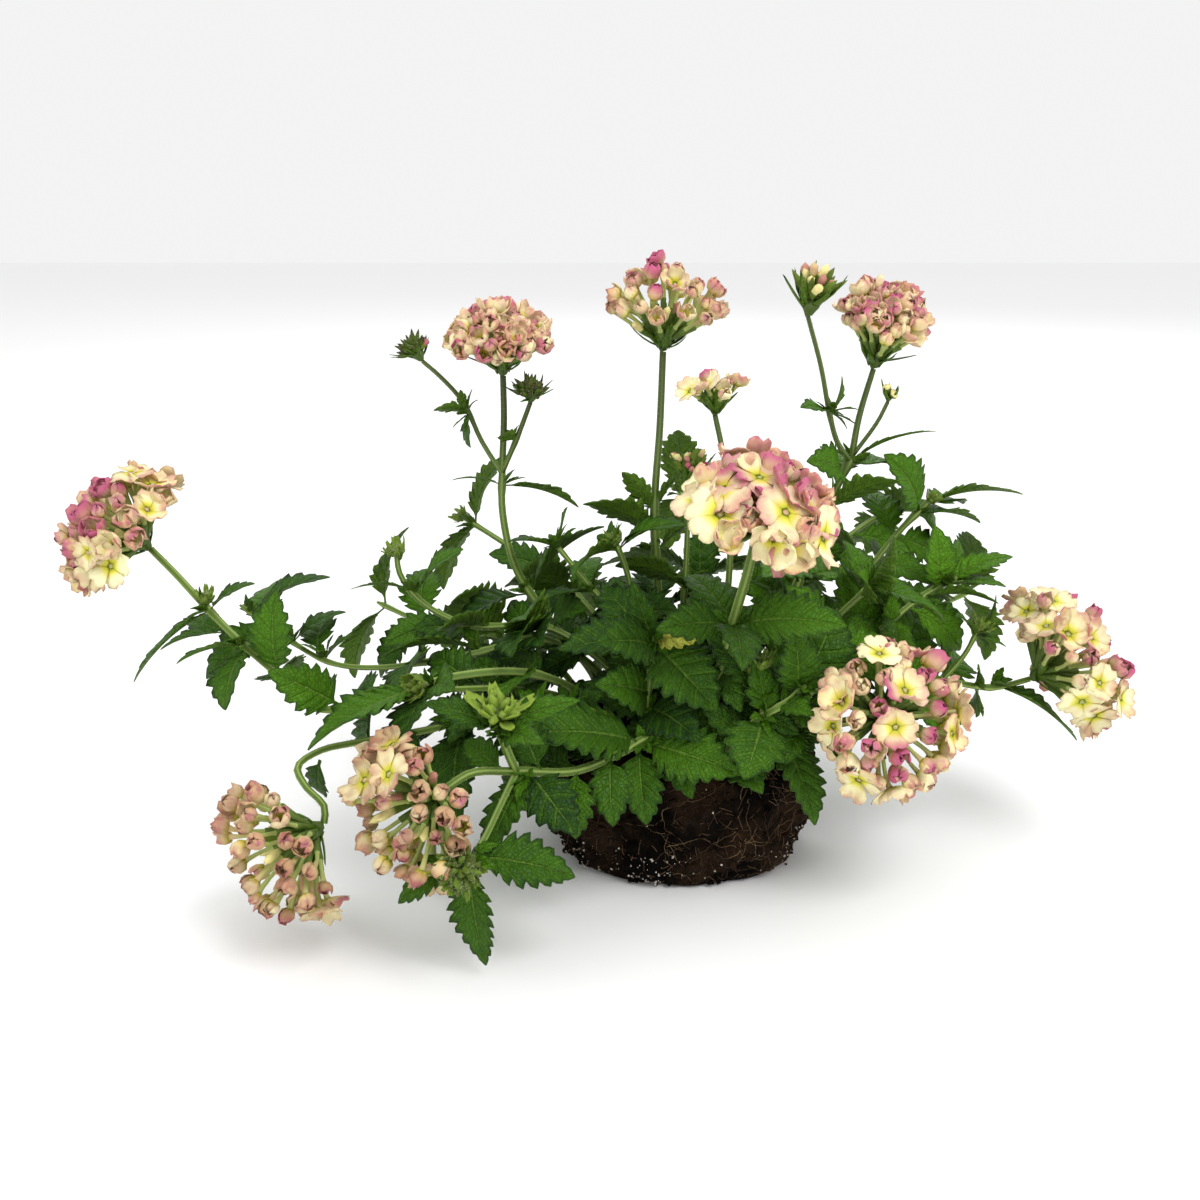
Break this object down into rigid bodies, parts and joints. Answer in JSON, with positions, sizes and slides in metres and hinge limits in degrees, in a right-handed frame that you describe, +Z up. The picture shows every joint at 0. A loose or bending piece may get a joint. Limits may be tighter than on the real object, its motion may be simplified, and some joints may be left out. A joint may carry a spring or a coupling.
{
  "type": "trailing verbena on its root ball",
  "caption": "Trailing garden verbena on its bare root ball: toothed leaves on long loose stems, with domed heads of small five-lobed florets and heads of closed buds.",
  "frame": {"origin": "centre of the root ball's flat underside", "axes": "+Z up; the widest spread of the plant, from the far left bloom to the far right bloom, lies along X; the side seen in the picture faces -Y"},
  "size_m": [0.4144, 0.2575, 0.238],
  "materials": {
    "soil": "damp crumbly potting soil with fine tan roots and white perlite grains, fully matte",
    "foliage": "mid to dark green leaves with sunken veins and fine hairs, paler green square stems, soft sheen",
    "petal": "thin velvety petals, cream yellow at the eye, peach to mauve pink at the edges",
    "bud": "hairy green closed buds with brown, cream and magenta tips"
  },
  "bodies": {
    "root": {"root_ball": "soil", "stem_left_arm": "foliage", "stem_left_back": "foliage", "stem_front_left": "foliage", "stem_looped": "foliage", "stem_tall_left": "foliage", "stem_tall_middle": "foliage", "stem_small_bloom": "foliage", "stem_bud_middle": "foliage", "stem_tall_right": "foliage", "stem_front_bloom": "foliage", "stem_low_right": "foliage", "stem_far_right": "foliage", "stem_right_upper": "foliage", "stem_right_side": "foliage", "stem_right_middle": "foliage", "stem_front_right": "foliage", "stem_back_left": "foliage", "stem_back_middle": "foliage", "stem_back_right": "foliage", "stem_back_low_left": "foliage", "stem_back_low_right": "foliage", "stem_left_bud": "foliage", "stem_left_middle": "foliage", "stem_rosette": "foliage", "stem_centre_front": "foliage", "bloom_far_left": "petal", "bloom_front_left": "petal", "bud_head_front": "bud", "bud_head_low": "bud", "bloom_low_left": "petal", "bloom_tall_left": "petal", "bud_head_left": "bud", "bud_head_under": "bud", "bloom_tall_middle": "petal", "bloom_small": "petal", "bud_head_middle": "bud", "bud_head_right": "bud", "bloom_tall_right": "petal", "bud_head_under_right": "bud", "bloom_front": "petal", "bloom_low_right": "petal", "bloom_far_right": "petal"}
  },
  "joints": []
}
